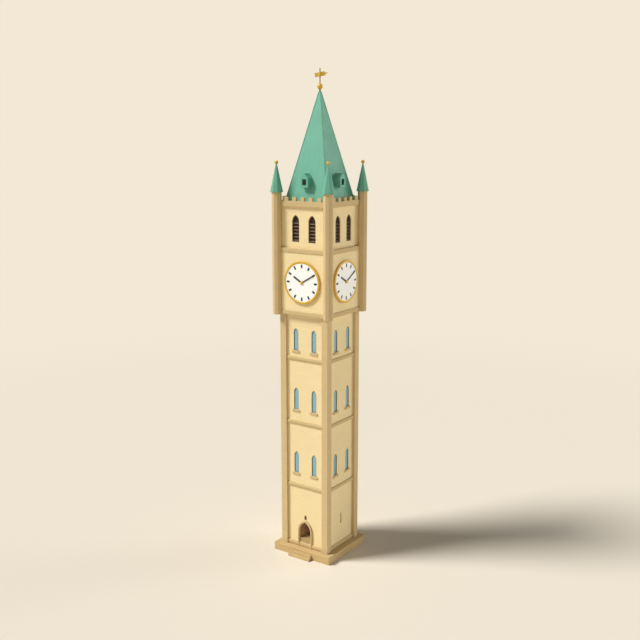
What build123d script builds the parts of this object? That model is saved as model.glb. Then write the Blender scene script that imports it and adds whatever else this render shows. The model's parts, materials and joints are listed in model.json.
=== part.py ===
"""Square masonry clock tower with corner turrets and a copper spire, in millimetres.

Origin: middle of the underside of the plinth, on the ground. +Z is up.
The entrance is in the front wall, which faces -Y.
"""
import os
from math import asin, cos, radians, sin, tan

from build123d import *

os.makedirs("parts", exist_ok=True)

# ---------------------------------------------------------------- sizes
# plinth and entrance steps
PLINTH_LEDGE = 450.0
PLINTH_HEIGHT = 640.0
STEP_COUNT = 2
STEP_TREAD = 200.0
STEP_HALF_WIDTH = 1050.0

# shaft: four square corner piers with wall panels between them, in four storeys
SHAFT_HALF = 2300.0
PIER_WIDTH = 575.0
PANEL_SET_BACK = 190.0
STOREY_HEIGHTS = (5470.0, 5400.0, 5340.0)
TOP_STOREY_HEIGHT = 3390.0
BASE_COURSE_HEIGHT = 370.0
BASE_COURSE_PROUD = 110.0

# doorway: a pointed arch over a raised sill, framed by a surround of even width
DOOR_SILL_HEIGHT = 740.0
DOORWAY_HALF_WIDTH = 530.0
DOORWAY_JAMB_HEIGHT = 620.0
DOORWAY_RISE = 800.0
SURROUND_WIDTH = 205.0
SURROUND_PROUD = 150.0
REBATE_DEPTH = 40.0
REBATE_WIDTH = 90.0
REBATE_OVER = 100.0

# door: one leaf on two pintles, standing ajar
LEAF_THICKNESS = 60.0
LEAF_CLEARANCE = 6.0
LEAF_LAP = 25.0
LEAF_AJAR = 72.0
HINGE_PIN_RADIUS = 10.0
HINGE_PIN_STAND = 10.0
HINGE_CLEARANCE = 0.5
HINGE_EYE_RADIUS = 22.0
HINGE_EYE_HEIGHT = 90.0
HINGE_ARM_HEIGHT = 40.0
HINGE_ARM_WIDTH = 26.0
HINGE_STRAP_LENGTH = 760.0
HINGE_STRAP_THICKNESS = 8.0
HINGE_RISES = (180.0, 480.0)

# slit over the door, closed by a board, and open slits in the other ground storey walls
SLIT_HALF_WIDTH = 115.0
SLIT_OVER_SURROUND = 15.0
SLIT_HEIGHT = 400.0
SLIT_RISE = 184.0
SLIT_BOARD_SET_BACK = 20.0
SLIT_BOARD_THICKNESS = 40.0
SIDE_SLIT_HALF_WIDTH = 110.0
SIDE_SLIT_OVER_PLINTH = 1910.0
SIDE_SLIT_HEIGHT = 900.0

# lancet windows of the three upper storeys of the shaft
LANCET_FROM_PIER = 860.0
LANCET_HALF_WIDTH = 225.0
LANCET_RISE = 340.0
LANCET_HEIGHT = 1810.0
LANCETS_OVER_STRINGS = (910.0, 910.0, 480.0)
SILL_HEIGHT = 200.0
SILL_OVERHANG = 145.0
SILL_PROUD = 65.0
GLASS_THICKNESS = 20.0
GLASS_SET_BACK = 60.0

# string courses of the shaft
STRING_HEIGHT = 330.0
STRING_PROUD = 110.0

# floors
FLOOR_THICKNESS = 200.0

# clock stage
CORNICE_PROUD = 160.0
CORNICE_HEIGHT = 370.0
CLOCK_WALL_PROUD = 90.0
CLOCK_WALL_THICKNESS = 490.0
CLOCK_STAGE_HEIGHT = 4580.0
CLOCK_STRING_PROUD = 50.0
CLOCK_STRING_HEIGHT = 370.0

# dials, set between the turrets, and their hands
DIAL_RISE = 20.0
RING_FROM_TURRET = 336.0
RING_WIDTH = 165.0
RING_THICKNESS = 150.0
DIAL_THICKNESS = 130.0
HOUR_BARS = 12
HOUR_BAR_LENGTH = 285.0
HOUR_BAR_WIDTH = 150.0
HOUR_BAR_THICKNESS = 6.0
HOUR_BAR_FROM_RING = 92.0
ARBOR_RADIUS = 35.0
ARBOR_CLEARANCE = 0.5
HAND_GAP = 6.0
HAND_THICKNESS = 12.0
HAND_POINT = 50.0
HOUR_HAND_WIDTH = 145.0
MINUTE_HAND_WIDTH = 95.0
HOUR_HAND_FROM_RING = 627.0
MINUTE_HAND_FROM_RING = 142.0
HAND_HUB_RADIUS = 110.0
BOSS_RADIUS = 140.0
BOSS_THICKNESS = 30.0
HOUR_HAND_ANGLE = 300.0
MINUTE_HAND_ANGLE = 60.0

# belfry stage
BELFRY_SET_BACK = 170.0
BELFRY_WALL_THICKNESS = 420.0
BELFRY_HEIGHT = 3240.0
LOUVRE_FROM_CORNER = 1024.0
LOUVRE_HALF_WIDTH = 335.0
LOUVRE_OVER_STRING = 480.0
LOUVRE_HEIGHT = 2100.0
LOUVRE_RISE = 520.0
LOUVRE_SET_BACK = 60.0
LOUVRE_DEPTH = 120.0
LOUVRE_FRAME = 50.0
LOUVRE_SLATS = 6
LOUVRE_SLAT_THICKNESS = 30.0
LOUVRE_BOARD_THICKNESS = 30.0
SLAT_ANGLE = 35.0

# parapet
PARAPET_PROUD = 190.0
PARAPET_THICKNESS = 180.0
PARAPET_HEIGHT = 420.0
MERLON_HEIGHT = 305.0
MERLON_WIDTH = 360.0
MERLON_FROM_CORNER = 854.0
MERLON_COUNT = 5
DECK_THICKNESS = 180.0

# corner turrets with their pinnacles
TURRET_OUT = 133.0
TURRET_RADIUS = 400.0
TURRET_DROP = 45.0
TURRET_OVER_BELFRY = 1060.0
PINNACLE_OVERHANG = 103.0
PINNACLE_EAVES = 40.0
PINNACLE_HEIGHT = 2290.0
PINNACLE_TIP_RADIUS = 25.0
PINNACLE_BALL_RADIUS = 145.0

# spire
SPIRE_SET_BACK = 217.0
SPIRE_HEIGHT = 8537.0
SPIRE_TIP_HALF = 60.0
SPIRE_SHELL = 150.0
SPIRE_INSIDE_TIP = 20.0

# dormers
DORMER_SET_BACK = 70.0
DORMER_DEPTH = 1200.0
DORMER_HALF_WIDTH = 356.0
DORMER_OVER_DECK = 1270.0
DORMER_WALL_HEIGHT = 750.0
DORMER_GABLE_HEIGHT = 340.0
DORMER_SHELL = 60.0
DORMER_OPENING_HALF_WIDTH = 180.0
DORMER_OPENING_RISE = 190.0
DORMER_OPENING_HEIGHT = 450.0
DORMER_SLATS = 4
DORMER_SLAT_WIDTH = 60.0
DORMER_SLAT_THICKNESS = 16.0

# finial and vane
POST_RADIUS = 80.0
BALL_RISE = 358.0
BALL_RADIUS = 218.0
MAST_RADIUS = 45.0
MAST_LENGTH = 1355.0
VANE_RISE = 905.0
VANE_CLEARANCE = 0.5
VANE_GAP = 8.0
COLLAR_HEIGHT = 40.0
VANE_HUB_RADIUS = 65.0
VANE_HUB_STAND = 10.0
VANE_LENGTH = 800.0
VANE_WIDTH = 310.0
VANE_THICKNESS = 110.0
VANE_TIP_LENGTH = 240.0
VANE_TIP_WIDTH = 140.0
VANE_TILT = 9.5
VANE_TURN = 20.0

# margins of the cutting shapes, and millimetres cubed in a cubic metre
CUT_MARGIN = 10.0
CUT_DEPTH = 2000.0
CUBIC_METRE = 1e9

# ---------------------------------------------------------------- sizes that follow
# shaft
PLINTH_HALF = SHAFT_HALF + PLINTH_LEDGE
PANEL_HALF = SHAFT_HALF - PANEL_SET_BACK
ROOM_HALF = SHAFT_HALF - PIER_WIDTH
BASE_COURSE_TOP = PLINTH_HEIGHT + BASE_COURSE_HEIGHT
STRING_TOPS = tuple(
    PLINTH_HEIGHT + sum(STOREY_HEIGHTS[: count + 1]) for count in range(len(STOREY_HEIGHTS))
)
SHAFT_TOP = STRING_TOPS[-1] + TOP_STOREY_HEIGHT
LANCET_OFFSET = ROOM_HALF - LANCET_FROM_PIER
LANCET_BOTTOMS = tuple(top + rise for top, rise in zip(STRING_TOPS, LANCETS_OVER_STRINGS))

# doorway and slits
DOOR_SILL_TOP = PLINTH_HEIGHT + DOOR_SILL_HEIGHT
DOORWAY_SPRING = DOOR_SILL_TOP + DOORWAY_JAMB_HEIGHT
DOORWAY_APEX = DOORWAY_SPRING + DOORWAY_RISE
DOORWAY_RADIUS = (DOORWAY_HALF_WIDTH**2 + DOORWAY_RISE**2) / (2 * DOORWAY_HALF_WIDTH)
SURROUND_HALF_WIDTH = DOORWAY_HALF_WIDTH + SURROUND_WIDTH
SURROUND_RADIUS = DOORWAY_RADIUS + SURROUND_WIDTH
SURROUND_RISE = (SURROUND_RADIUS**2 - (DOORWAY_RADIUS - DOORWAY_HALF_WIDTH) ** 2) ** 0.5
SURROUND_APEX = DOORWAY_SPRING + SURROUND_RISE
REBATE_Y = -PANEL_HALF + REBATE_DEPTH
REBATE_HALF_WIDTH = DOORWAY_HALF_WIDTH + REBATE_WIDTH
REBATE_TOP = DOORWAY_APEX + REBATE_OVER
HINGE_HEIGHTS = tuple(DOOR_SILL_TOP + rise for rise in HINGE_RISES)
SLIT_BOTTOM = SURROUND_APEX + SLIT_OVER_SURROUND
SLIT_APEX = SLIT_BOTTOM + SLIT_HEIGHT
SIDE_SLIT_BOTTOM = PLINTH_HEIGHT + SIDE_SLIT_OVER_PLINTH
SIDE_SLIT_TOP = SIDE_SLIT_BOTTOM + SIDE_SLIT_HEIGHT

# clock stage
CORNICE_HALF = SHAFT_HALF + CORNICE_PROUD
CORNICE_TOP = SHAFT_TOP + CORNICE_HEIGHT
CLOCK_WALL_HALF = SHAFT_HALF + CLOCK_WALL_PROUD
CLOCK_ROOM_HALF = CLOCK_WALL_HALF - CLOCK_WALL_THICKNESS
CLOCK_STAGE_TOP = CORNICE_TOP + CLOCK_STAGE_HEIGHT
CLOCK_STRING_HALF = CLOCK_WALL_HALF + CLOCK_STRING_PROUD
TURRET_OFFSET = SHAFT_HALF + TURRET_OUT
DIAL_HEIGHT = (CORNICE_TOP + CLOCK_STAGE_TOP) / 2 + DIAL_RISE
RING_RADIUS = TURRET_OFFSET - TURRET_RADIUS - RING_FROM_TURRET
DIAL_RADIUS = RING_RADIUS - RING_WIDTH
HOUR_BAR_MIDDLE = DIAL_RADIUS - HOUR_BAR_FROM_RING - HOUR_BAR_LENGTH / 2
HOUR_HAND_LENGTH = DIAL_RADIUS - HOUR_HAND_FROM_RING
MINUTE_HAND_LENGTH = DIAL_RADIUS - MINUTE_HAND_FROM_RING

# belfry, parapet and turrets
BELFRY_BOTTOM = CLOCK_STAGE_TOP + CLOCK_STRING_HEIGHT
BELFRY_TOP = BELFRY_BOTTOM + BELFRY_HEIGHT
BELFRY_WALL_HALF = CLOCK_WALL_HALF - BELFRY_SET_BACK
BELFRY_ROOM_HALF = BELFRY_WALL_HALF - BELFRY_WALL_THICKNESS
LOUVRE_OFFSET = BELFRY_ROOM_HALF - LOUVRE_FROM_CORNER
LOUVRE_BOTTOM = BELFRY_BOTTOM + LOUVRE_OVER_STRING
LOUVRE_APEX = LOUVRE_BOTTOM + LOUVRE_HEIGHT
PARAPET_HALF = BELFRY_WALL_HALF + PARAPET_PROUD
MERLON_PITCH = 2 * (PARAPET_HALF - MERLON_FROM_CORNER) / (MERLON_COUNT - 1)
DECK_TOP = BELFRY_TOP + DECK_THICKNESS
TURRET_BOTTOM = SHAFT_TOP - TURRET_DROP
TURRET_TOP = BELFRY_TOP + TURRET_OVER_BELFRY
PINNACLE_RADIUS = TURRET_RADIUS + PINNACLE_OVERHANG

# spire, dormers, finial and vane
SPIRE_HALF = BELFRY_WALL_HALF - SPIRE_SET_BACK
SPIRE_TOP = DECK_TOP + SPIRE_HEIGHT
SPIRE_SLOPE = (SPIRE_HALF - SPIRE_TIP_HALF) / SPIRE_HEIGHT
DORMER_FRONT = BELFRY_WALL_HALF - DORMER_SET_BACK
DORMER_BOTTOM = DECK_TOP + DORMER_OVER_DECK
DORMER_EAVES = DORMER_BOTTOM + DORMER_WALL_HEIGHT
DORMER_APEX = DORMER_EAVES + DORMER_GABLE_HEIGHT
DORMER_OPENING_BOTTOM = DORMER_BOTTOM + DORMER_OPENING_RISE
DORMER_OPENING_TOP = DORMER_OPENING_BOTTOM + DORMER_OPENING_HEIGHT
BALL_HEIGHT = SPIRE_TOP + BALL_RISE
MAST_TOP = BALL_HEIGHT + MAST_LENGTH
VANE_HEIGHT = BALL_HEIGHT + VANE_RISE
VANE_SLANT = VANE_HUB_RADIUS * tan(radians(VANE_TILT))
VANE_HUB_HEIGHT = VANE_WIDTH / cos(radians(VANE_TILT)) + 2 * (VANE_SLANT + VANE_HUB_STAND)


# ---------------------------------------------------------------- helpers
def block(x0, x1, y0, y1, z0, z1):
    """A box between two corners."""
    return Pos((x0 + x1) / 2, (y0 + y1) / 2, (z0 + z1) / 2) * Box(x1 - x0, y1 - y0, z1 - z0)


def front_plane(y):
    """A plane seen from the front: across is X, up is Z, the normal points to -Y."""
    return Plane(origin=(0, y, 0), x_dir=(1, 0, 0), z_dir=(0, -1, 0))


def on_front(face, y_back, depth):
    """A face drawn across and up, thickened from y_back towards the front."""
    return extrude(front_plane(y_back) * face, amount=depth)


def through_wall(face, room_half):
    """A cutting shape that passes right through the front wall of a room."""
    return on_front(face, -room_half + CUT_MARGIN, CUT_DEPTH)


def pointed_arch(middle, half_width, bottom, apex, rise):
    """A window shape with a pointed head made of two equal arcs."""
    spring = apex - rise
    radius = (half_width**2 + rise**2) / (2 * half_width)
    angle = asin(min(1.0, rise / radius))
    mid_x = half_width - radius + radius * cos(angle / 2)
    mid_z = spring + radius * sin(angle / 2)
    edges = [
        Line((middle - half_width, bottom), (middle + half_width, bottom)),
        Line((middle + half_width, bottom), (middle + half_width, spring)),
        ThreePointArc((middle + half_width, spring), (middle + mid_x, mid_z), (middle, apex)),
        ThreePointArc((middle, apex), (middle - mid_x, mid_z), (middle - half_width, spring)),
        Line((middle - half_width, spring), (middle - half_width, bottom)),
    ]
    return make_face(edges)


def rectangle(x0, x1, z0, z1):
    """A plain rectangle, across and up."""
    return Pos((x0 + x1) / 2, (z0 + z1) / 2) * Rectangle(x1 - x0, z1 - z0)


def octagon(x, y, radius, z0, z1):
    """An upright eight-sided prism with corners on the axes."""
    outline = Pos(x, y) * RegularPolygon(radius, 8)
    return extrude(Plane.XY.offset(z0) * outline, amount=z1 - z0)


def turned(shape, side):
    """A front piece carried to another side: 0 front, 1 right, 2 back, 3 left."""
    return Rot(0, 0, 90 * side) * shape


def on_all_sides(shape):
    """The same piece on all four sides."""
    return [turned(shape, side) for side in range(4)]


def write_part(name, *shapes):
    """Write the solids of one named piece to its own file."""
    solids = [solid for shape in shapes for solid in shape.solids()]
    piece = solids[0] if len(solids) == 1 else Compound(solids)
    export_step(piece, f"parts/{name}.step")
    low = piece.bounding_box().min
    high = piece.bounding_box().max
    volume = sum(solid.volume for solid in solids) / CUBIC_METRE
    print(f"{name:24s} {len(solids):3d} solids {volume:9.3f} m3 z {low.Z:8.0f} {high.Z:8.0f}")


SIDES = ("front", "right", "back", "left")

# ---------------------------------------------------------------- plinth, steps and floor
plinth = block(-PLINTH_HALF, PLINTH_HALF, -PLINTH_HALF, PLINTH_HALF, 0, PLINTH_HEIGHT)
write_part("plinth", plinth)

riser = PLINTH_HEIGHT / (STEP_COUNT + 1)
steps = None
for step in range(STEP_COUNT):
    front = -PLINTH_HALF - STEP_TREAD * (STEP_COUNT - step)
    step_bottom = riser * step
    tread = block(
        -STEP_HALF_WIDTH, STEP_HALF_WIDTH, front, -PLINTH_HALF, step_bottom, step_bottom + riser
    )
    steps = tread if steps is None else steps + tread
write_part("entrance_steps", steps)

# ---------------------------------------------------------------- shaft
turret = octagon(-TURRET_OFFSET, -TURRET_OFFSET, TURRET_RADIUS, TURRET_BOTTOM, TURRET_TOP)
turrets = on_all_sides(turret)

pier = block(-SHAFT_HALF, -ROOM_HALF, -SHAFT_HALF, -ROOM_HALF, PLINTH_HEIGHT, SHAFT_TOP)
pier = pier - turret
write_part("corner_piers", *on_all_sides(pier))

doorway_shape = pointed_arch(0, DOORWAY_HALF_WIDTH, PLINTH_HEIGHT, DOORWAY_APEX, DOORWAY_RISE)
doorway = through_wall(doorway_shape, ROOM_HALF)
slit_shape = pointed_arch(0, SLIT_HALF_WIDTH, SLIT_BOTTOM, SLIT_APEX, SLIT_RISE)
slit = through_wall(slit_shape, ROOM_HALF)
side_slit_shape = rectangle(
    -SIDE_SLIT_HALF_WIDTH, SIDE_SLIT_HALF_WIDTH, SIDE_SLIT_BOTTOM, SIDE_SLIT_TOP
)
side_slit = through_wall(side_slit_shape, ROOM_HALF)


def lancet_shape(middle, bottom):
    """The outline of one lancet window."""
    return pointed_arch(middle, LANCET_HALF_WIDTH, bottom, bottom + LANCET_HEIGHT, LANCET_RISE)


lancet_cuts = []
for bottom in LANCET_BOTTOMS:
    for middle in (-LANCET_OFFSET, LANCET_OFFSET):
        lancet_cuts.append(through_wall(lancet_shape(middle, bottom), ROOM_HALF))

shaft_wall = block(-ROOM_HALF, ROOM_HALF, -PANEL_HALF, -ROOM_HALF, PLINTH_HEIGHT, SHAFT_TOP)
shaft_wall = shaft_wall - lancet_cuts

# the front wall is built in three pieces, beside the doorway and over it
rebate = block(
    -REBATE_HALF_WIDTH, REBATE_HALF_WIDTH, REBATE_Y, -ROOM_HALF, PLINTH_HEIGHT, REBATE_TOP
)
door_jamb = block(
    -ROOM_HALF, -DOORWAY_HALF_WIDTH, -PANEL_HALF, -ROOM_HALF, PLINTH_HEIGHT, DOORWAY_SPRING
)
door_jamb = door_jamb - rebate
write_part("door_wall_left", door_jamb)
write_part("door_wall_right", mirror(door_jamb, about=Plane.YZ))
over_door = block(-ROOM_HALF, ROOM_HALF, -PANEL_HALF, -ROOM_HALF, DOORWAY_SPRING, SHAFT_TOP)
over_door = over_door - lancet_cuts - doorway - rebate - slit
write_part("front_wall", over_door)
side_wall = shaft_wall - side_slit
for side in (1, 2, 3):
    write_part(f"{SIDES[side]}_wall", turned(side_wall, side))

surround_shape = pointed_arch(0, SURROUND_HALF_WIDTH, PLINTH_HEIGHT, SURROUND_APEX, SURROUND_RISE)
surround = on_front(surround_shape, -PANEL_HALF, SURROUND_PROUD) - doorway
write_part("door_surround", surround)

base_front = -PANEL_HALF - BASE_COURSE_PROUD
base_run = block(
    -ROOM_HALF, ROOM_HALF, base_front, -PANEL_HALF, PLINTH_HEIGHT, BASE_COURSE_TOP
)
base_pieces = [turned(base_run, side) for side in (1, 2, 3)]
write_part("base_course", base_run - surround, *base_pieces)

courses = []
for top in STRING_TOPS:
    run = block(
        -ROOM_HALF, ROOM_HALF, -PANEL_HALF - STRING_PROUD, -PANEL_HALF, top - STRING_HEIGHT, top
    )
    courses += on_all_sides(run)
write_part("string_courses", *courses)

sills = []
panes = []
pane_back = -PANEL_HALF + GLASS_SET_BACK + GLASS_THICKNESS
for bottom in LANCET_BOTTOMS:
    for middle in (-LANCET_OFFSET, LANCET_OFFSET):
        sill = block(
            middle - LANCET_HALF_WIDTH - SILL_OVERHANG,
            middle + LANCET_HALF_WIDTH + SILL_OVERHANG,
            -PANEL_HALF - SILL_PROUD,
            -PANEL_HALF,
            bottom - SILL_HEIGHT,
            bottom,
        )
        sills += on_all_sides(sill)
        pane = on_front(lancet_shape(middle, bottom), pane_back, GLASS_THICKNESS)
        panes += on_all_sides(pane)
write_part("window_sills", *sills)
write_part("window_glass", *panes)

# ---------------------------------------------------------------- doorway
sill_stone = block(
    -DOORWAY_HALF_WIDTH, DOORWAY_HALF_WIDTH, -PANEL_HALF, REBATE_Y, PLINTH_HEIGHT, DOOR_SILL_TOP
)
sill_stone = sill_stone + block(
    -REBATE_HALF_WIDTH, REBATE_HALF_WIDTH, REBATE_Y, -ROOM_HALF, PLINTH_HEIGHT, DOOR_SILL_TOP
)
write_part("door_sill", sill_stone)

# the leaf closes behind the pointed opening and swings inwards; it is drawn shut
leaf_front = REBATE_Y + LEAF_CLEARANCE
leaf_back = leaf_front + LEAF_THICKNESS
leaf_half = DOORWAY_HALF_WIDTH + LEAF_LAP
leaf_shape = pointed_arch(
    0,
    leaf_half,
    DOOR_SILL_TOP + LEAF_CLEARANCE,
    DOORWAY_APEX + LEAF_LAP,
    DOORWAY_RISE + LEAF_LAP,
)
leaf = on_front(leaf_shape, leaf_back, LEAF_THICKNESS)
hinge_x = -leaf_half
hinge_y = leaf_back + HINGE_EYE_RADIUS
pintles = []
for height in HINGE_HEIGHTS:
    eye_top = height + HINGE_EYE_HEIGHT
    eye = Pos(hinge_x, hinge_y, (height + eye_top) / 2) * Cylinder(HINGE_EYE_RADIUS, HINGE_EYE_HEIGHT)
    strap = block(
        hinge_x,
        hinge_x + HINGE_STRAP_LENGTH,
        leaf_back,
        leaf_back + HINGE_STRAP_THICKNESS,
        height,
        eye_top,
    )
    leaf = leaf + eye + strap
    arm_top = height - LEAF_CLEARANCE
    arm = block(
        -REBATE_HALF_WIDTH,
        hinge_x + HINGE_ARM_WIDTH / 2,
        hinge_y - HINGE_ARM_WIDTH / 2,
        hinge_y + HINGE_ARM_WIDTH / 2,
        arm_top - HINGE_ARM_HEIGHT,
        arm_top,
    )
    pin_top = eye_top + HINGE_PIN_STAND
    pin_height = pin_top - arm_top
    pin = Pos(hinge_x, hinge_y, arm_top + pin_height / 2) * Cylinder(HINGE_PIN_RADIUS, pin_height)
    pintles.append(arm + pin)
pin_hole = Pos(hinge_x, hinge_y, DOORWAY_SPRING / 2) * Cylinder(
    HINGE_PIN_RADIUS + HINGE_CLEARANCE, DOORWAY_SPRING
)
leaf = leaf - pin_hole
leaf = Pos(hinge_x, hinge_y) * Rot(0, 0, LEAF_AJAR) * Pos(-hinge_x, -hinge_y) * leaf
write_part("door_leaf", leaf)
write_part("door_pintles", *pintles)

slit_board_back = -PANEL_HALF + SLIT_BOARD_SET_BACK + SLIT_BOARD_THICKNESS
write_part("slit_board", on_front(slit_shape, slit_board_back, SLIT_BOARD_THICKNESS))

# ---------------------------------------------------------------- floors
floor = block(-ROOM_HALF, ROOM_HALF, -ROOM_HALF, ROOM_HALF, -FLOOR_THICKNESS, 0)
write_part("ground_floor", Pos(0, 0, DOOR_SILL_TOP) * floor)
write_part("storey_floors", *[Pos(0, 0, top) * floor for top in STRING_TOPS])

# ---------------------------------------------------------------- clock stage
cornice = block(-CORNICE_HALF, CORNICE_HALF, -CORNICE_HALF, CORNICE_HALF, SHAFT_TOP, CORNICE_TOP)
cornice = cornice - block(-ROOM_HALF, ROOM_HALF, -ROOM_HALF, ROOM_HALF, SHAFT_TOP, CORNICE_TOP)
cornice = cornice - turrets
write_part("clock_cornice", cornice)

write_part("clock_floor", Pos(0, 0, CORNICE_TOP) * floor)


def stage_walls(half, room_half, bottom, top, cuts):
    """Four walls of a stage: front and back run through, the sides stand between them."""
    through = block(-half, half, -half, -room_half, bottom, top)
    between = block(-room_half, room_half, -half, -room_half, bottom, top)
    walls = []
    for side in range(4):
        wall = turned(through if side % 2 == 0 else between, side)
        for cut in cuts:
            wall = wall - turned(cut, side)
        walls.append(wall - turrets)
    return walls


arbor_hole = through_wall(Pos(0, DIAL_HEIGHT) * Circle(ARBOR_RADIUS), CLOCK_ROOM_HALF)
clock_walls = stage_walls(
    CLOCK_WALL_HALF, CLOCK_ROOM_HALF, CORNICE_TOP, CLOCK_STAGE_TOP, [arbor_hole]
)
for side, wall in enumerate(clock_walls):
    write_part(f"clock_wall_{SIDES[side]}", wall)

dial_front = -CLOCK_WALL_HALF - DIAL_THICKNESS
dial = on_front(Pos(0, DIAL_HEIGHT) * Circle(DIAL_RADIUS), -CLOCK_WALL_HALF, DIAL_THICKNESS)
dial = dial - arbor_hole
write_part("dials", *on_all_sides(dial))

ring_face = Circle(RING_RADIUS) - Circle(DIAL_RADIUS)
ring = on_front(Pos(0, DIAL_HEIGHT) * ring_face, -CLOCK_WALL_HALF, RING_THICKNESS)
write_part("dial_rings", *on_all_sides(ring))

bars = []
for hour in range(HOUR_BARS):
    bar = Pos(0, HOUR_BAR_MIDDLE) * Rectangle(HOUR_BAR_WIDTH, HOUR_BAR_LENGTH)
    bar = Rot(0, 0, -hour * 360 / HOUR_BARS) * bar
    bars += on_all_sides(on_front(Pos(0, DIAL_HEIGHT) * bar, dial_front, HOUR_BAR_THICKNESS))
write_part("hour_bars", *bars)

hour_back = dial_front - HAND_GAP - HOUR_BAR_THICKNESS
minute_back = hour_back - HAND_THICKNESS - HAND_GAP
boss_back = minute_back - HAND_THICKNESS - HAND_GAP


def hand(length, width, angle, y_back):
    """A straight hand with a blunt point and a round hub on the arbor, turned clockwise."""
    half = width / 2
    shoulder = length - HAND_POINT
    corners = [(-half, 0), (-half, shoulder), (0, length), (half, shoulder), (half, 0)]
    outline = make_face(Polyline(*corners, close=True))
    outline = outline + Circle(HAND_HUB_RADIUS) - Circle(ARBOR_RADIUS + ARBOR_CLEARANCE)
    return on_front(Pos(0, DIAL_HEIGHT) * Rot(0, 0, -angle) * outline, y_back, HAND_THICKNESS)


hour_hand = hand(HOUR_HAND_LENGTH, HOUR_HAND_WIDTH, HOUR_HAND_ANGLE, hour_back)
minute_hand = hand(MINUTE_HAND_LENGTH, MINUTE_HAND_WIDTH, MINUTE_HAND_ANGLE, minute_back)
arbor_length = -CLOCK_ROOM_HALF - boss_back
arbor = on_front(Pos(0, DIAL_HEIGHT) * Circle(ARBOR_RADIUS), -CLOCK_ROOM_HALF, arbor_length)
boss = on_front(Pos(0, DIAL_HEIGHT) * Circle(BOSS_RADIUS), boss_back, BOSS_THICKNESS)
write_part("hand_arbors", *on_all_sides(arbor + boss))
for side, name in enumerate(SIDES):
    write_part(f"hour_hand_{name}", turned(hour_hand, side))
    write_part(f"minute_hand_{name}", turned(minute_hand, side))

# ---------------------------------------------------------------- belfry stage
clock_string = block(
    -CLOCK_STRING_HALF,
    CLOCK_STRING_HALF,
    -CLOCK_STRING_HALF,
    CLOCK_STRING_HALF,
    CLOCK_STAGE_TOP,
    BELFRY_BOTTOM,
)
clock_string = clock_string - block(
    -BELFRY_ROOM_HALF,
    BELFRY_ROOM_HALF,
    -BELFRY_ROOM_HALF,
    BELFRY_ROOM_HALF,
    CLOCK_STAGE_TOP,
    BELFRY_BOTTOM,
)
write_part("clock_string_course", clock_string - turrets)

belfry_floor = block(
    -BELFRY_ROOM_HALF,
    BELFRY_ROOM_HALF,
    -BELFRY_ROOM_HALF,
    BELFRY_ROOM_HALF,
    BELFRY_BOTTOM - FLOOR_THICKNESS,
    BELFRY_BOTTOM,
)
write_part("belfry_floor", belfry_floor)


def louvre_shape(middle, margin=0.0):
    """The pointed opening of the belfry; margin shrinks it all round."""
    return pointed_arch(
        middle,
        LOUVRE_HALF_WIDTH - margin,
        LOUVRE_BOTTOM + margin,
        LOUVRE_APEX - margin,
        LOUVRE_RISE - margin,
    )


belfry_cuts = []
for middle in (-LOUVRE_OFFSET, LOUVRE_OFFSET):
    belfry_cuts.append(through_wall(louvre_shape(middle), BELFRY_ROOM_HALF))
belfry_walls = stage_walls(
    BELFRY_WALL_HALF, BELFRY_ROOM_HALF, BELFRY_BOTTOM, BELFRY_TOP, belfry_cuts
)
for side, wall in enumerate(belfry_walls):
    write_part(f"belfry_wall_{SIDES[side]}", wall)

louvre_front = -BELFRY_WALL_HALF + LOUVRE_SET_BACK
louvre_back = louvre_front + LOUVRE_DEPTH
slat_pitch = (LOUVRE_HEIGHT - LOUVRE_RISE) / LOUVRE_SLATS
louvres = []
louvre_boards = []
louvre_middle = (louvre_front + louvre_back) / 2
board_back = louvre_back + LOUVRE_BOARD_THICKNESS
for middle in (-LOUVRE_OFFSET, LOUVRE_OFFSET):
    whole = louvre_shape(middle)
    louvre = on_front(whole - louvre_shape(middle, LOUVRE_FRAME), louvre_back, LOUVRE_DEPTH)
    louvre_boards += on_all_sides(on_front(whole, board_back, LOUVRE_BOARD_THICKNESS))
    for slat in range(LOUVRE_SLATS):
        height = LOUVRE_BOTTOM + slat_pitch * (slat + 0.5)
        blade = Box(2 * LOUVRE_HALF_WIDTH - LOUVRE_FRAME, LOUVRE_DEPTH, LOUVRE_SLAT_THICKNESS)
        louvre = louvre + Pos(middle, louvre_middle, height) * Rot(SLAT_ANGLE, 0, 0) * blade
    louvres += on_all_sides(louvre)
write_part("belfry_louvres", *louvres)
write_part("louvre_boards", *louvre_boards)

# ---------------------------------------------------------------- parapet and deck
parapet_top = BELFRY_TOP + PARAPET_HEIGHT
merlon_top = parapet_top + MERLON_HEIGHT
parapet_inside = PARAPET_HALF - PARAPET_THICKNESS
parapet = block(
    -PARAPET_HALF, PARAPET_HALF, -PARAPET_HALF, -parapet_inside, BELFRY_TOP, parapet_top
)
for index in range(MERLON_COUNT):
    middle = MERLON_PITCH * (index - (MERLON_COUNT - 1) / 2)
    parapet = parapet + block(
        middle - MERLON_WIDTH / 2,
        middle + MERLON_WIDTH / 2,
        -PARAPET_HALF,
        -parapet_inside,
        parapet_top,
        merlon_top,
    )
parapet_between = parapet & block(
    -parapet_inside, parapet_inside, -PARAPET_HALF, -parapet_inside, BELFRY_TOP, merlon_top
)
parapet_ring = parapet + turned(parapet, 2)
parapet_ring = parapet_ring + turned(parapet_between, 1) + turned(parapet_between, 3)
write_part("parapet", parapet_ring - turrets)

deck = block(
    -parapet_inside, parapet_inside, -parapet_inside, parapet_inside, BELFRY_TOP, DECK_TOP
)
write_part("parapet_deck", deck - turrets)

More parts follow.
